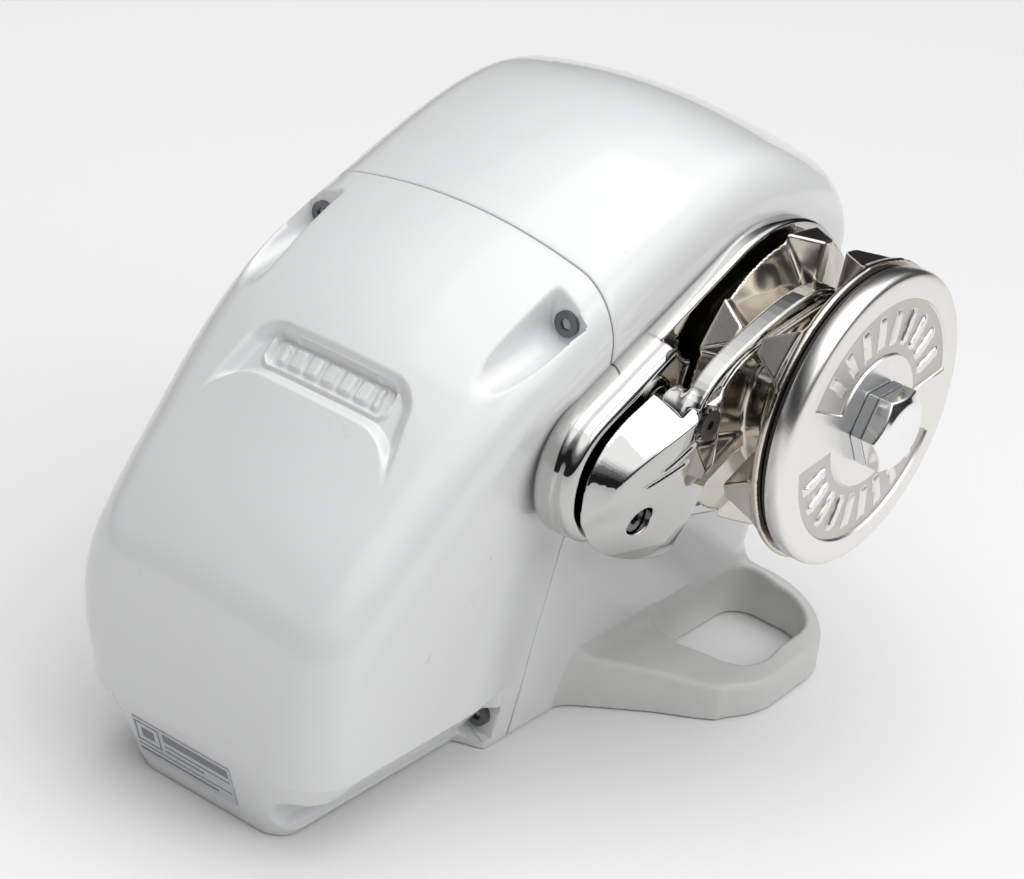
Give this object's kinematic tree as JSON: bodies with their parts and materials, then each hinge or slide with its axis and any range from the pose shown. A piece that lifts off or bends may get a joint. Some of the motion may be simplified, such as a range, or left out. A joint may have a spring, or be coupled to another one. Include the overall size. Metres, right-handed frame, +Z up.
{
  "type": "anchor windlass",
  "caption": "Horizontal electric anchor windlass: worm-driven chain gypsy with a cone clutch, stripper and sprung finger, in a painted case with a chain pipe ring.",
  "frame": {"origin": "centre of the four tapped deck holes, in the deck plane, straight below the main shaft's axis", "axes": "+Z up from the deck, +X along the main shaft towards the gypsy, +Y along the case away from the bow; the motor end lies towards -Y"},
  "size_m": [0.2173, 0.3036, 0.2308],
  "materials": {
    "white_paint": "gloss",
    "base_paint": "satin, slightly textured",
    "gasket": "matt",
    "dark_screw": "satin",
    "label": "satin",
    "cast_alloy": "as cast",
    "rubber": "satin",
    "steel": "ground",
    "bearing_steel": "polished",
    "bronze": "machined",
    "motor_paint": "gloss",
    "magnet": "matt",
    "lamination": "oiled",
    "copper": "bare",
    "phenolic": "moulded",
    "carbon": "dry",
    "nickel": "warm nickel plate",
    "disc_nickel": "satin face, polished rim",
    "nut_chrome": "polished",
    "cap_chrome": "polished",
    "polished": "mirror"
  },
  "bodies": {
    "case": {"gear_housing": "base_paint", "motor_cover": "white_paint", "cover_gasket": "gasket", "cover_screws": "dark_screw", "rating_plate": "label", "bearing_carrier": "cast_alloy", "carrier_screws": "dark_screw", "oil_seal": "rubber", "shaft_outer_races": "bearing_steel", "shaft_balls": "bearing_steel", "worm_outer_races": "bearing_steel", "worm_balls": "bearing_steel", "bearing_spacer": "cast_alloy", "motor_front_plate": "cast_alloy", "motor_can": "motor_paint", "motor_end_cap": "cast_alloy", "field_magnets": "magnet", "motor_outer_races": "bearing_steel", "motor_balls": "bearing_steel", "brush_holders": "phenolic", "brushes": "carbon", "brush_springs": "steel", "motor_bolts": "dark_screw", "terminal_posts": "copper", "stripper_base": "polished", "base_screws": "dark_screw", "stripper": "polished", "stripper_screw": "dark_screw", "finger_screw": "dark_screw", "finger_spring": "steel"},
    "main_shaft": {"main_shaft": "steel", "wheel_key": "steel", "worm_wheel": "bronze", "wheel_circlips": "steel", "shaft_inner_races": "bearing_steel", "inner_cone": "nickel", "inner_cone_key": "steel", "disc_key": "steel"},
    "rotor": {"worm": "steel", "worm_inner_races": "bearing_steel", "coupling_sleeve": "steel", "armature_shaft": "steel", "armature_core": "lamination", "windings": "copper", "commutator": "copper", "motor_inner_races": "bearing_steel"},
    "gypsy": {"gypsy": "nickel", "gypsy_bush": "bronze"},
    "clutch_disc": {"clutch_disc": "disc_nickel", "seal_ring": "rubber"},
    "clutch_nut": {"clutch_nut": "nut_chrome", "nut_cap": "cap_chrome"},
    "pressure_finger": {"pressure_finger": "polished"}
  },
  "joints": [
    {"name": "main_shaft_spin", "type": "hinge", "parent": "case", "child": "main_shaft", "pos_m": [0, 0, 0.1436], "axis": [1, 0, 0], "continuous": true},
    {"name": "rotor_spin", "type": "hinge", "parent": "case", "child": "rotor", "pos_m": [0, 0, 0.0836], "axis": [0, 1, 0], "continuous": true},
    {"name": "gypsy_spin", "type": "hinge", "parent": "main_shaft", "child": "gypsy", "pos_m": [0.101, 0, 0.1436], "axis": [1, 0, 0], "continuous": true},
    {"name": "clutch_release", "type": "slide", "parent": "main_shaft", "child": "clutch_disc", "axis": [1, 0, 0], "range_m": [0, 0.0015]},
    {"name": "clutch_nut_turn", "type": "hinge", "parent": "clutch_disc", "child": "clutch_nut", "pos_m": [0.137, 0, 0.1436], "axis": [1, 0, 0], "range_deg": [0, 217]},
    {"name": "finger_lift", "type": "hinge", "parent": "case", "child": "pressure_finger", "pos_m": [0.1, -0.074, 0.1565], "axis": [1, 0, 0], "range_deg": [0, 25], "stiffness_Nm_per_rad": 1.5, "springref_deg": -17.19}
  ],
  "couplings": [
    {"joint": "rotor_spin", "follows": "main_shaft_spin", "ratio": -30},
    {"joint": "clutch_nut_turn", "follows": "clutch_release", "rad_per_m": 2513.3}
  ]
}
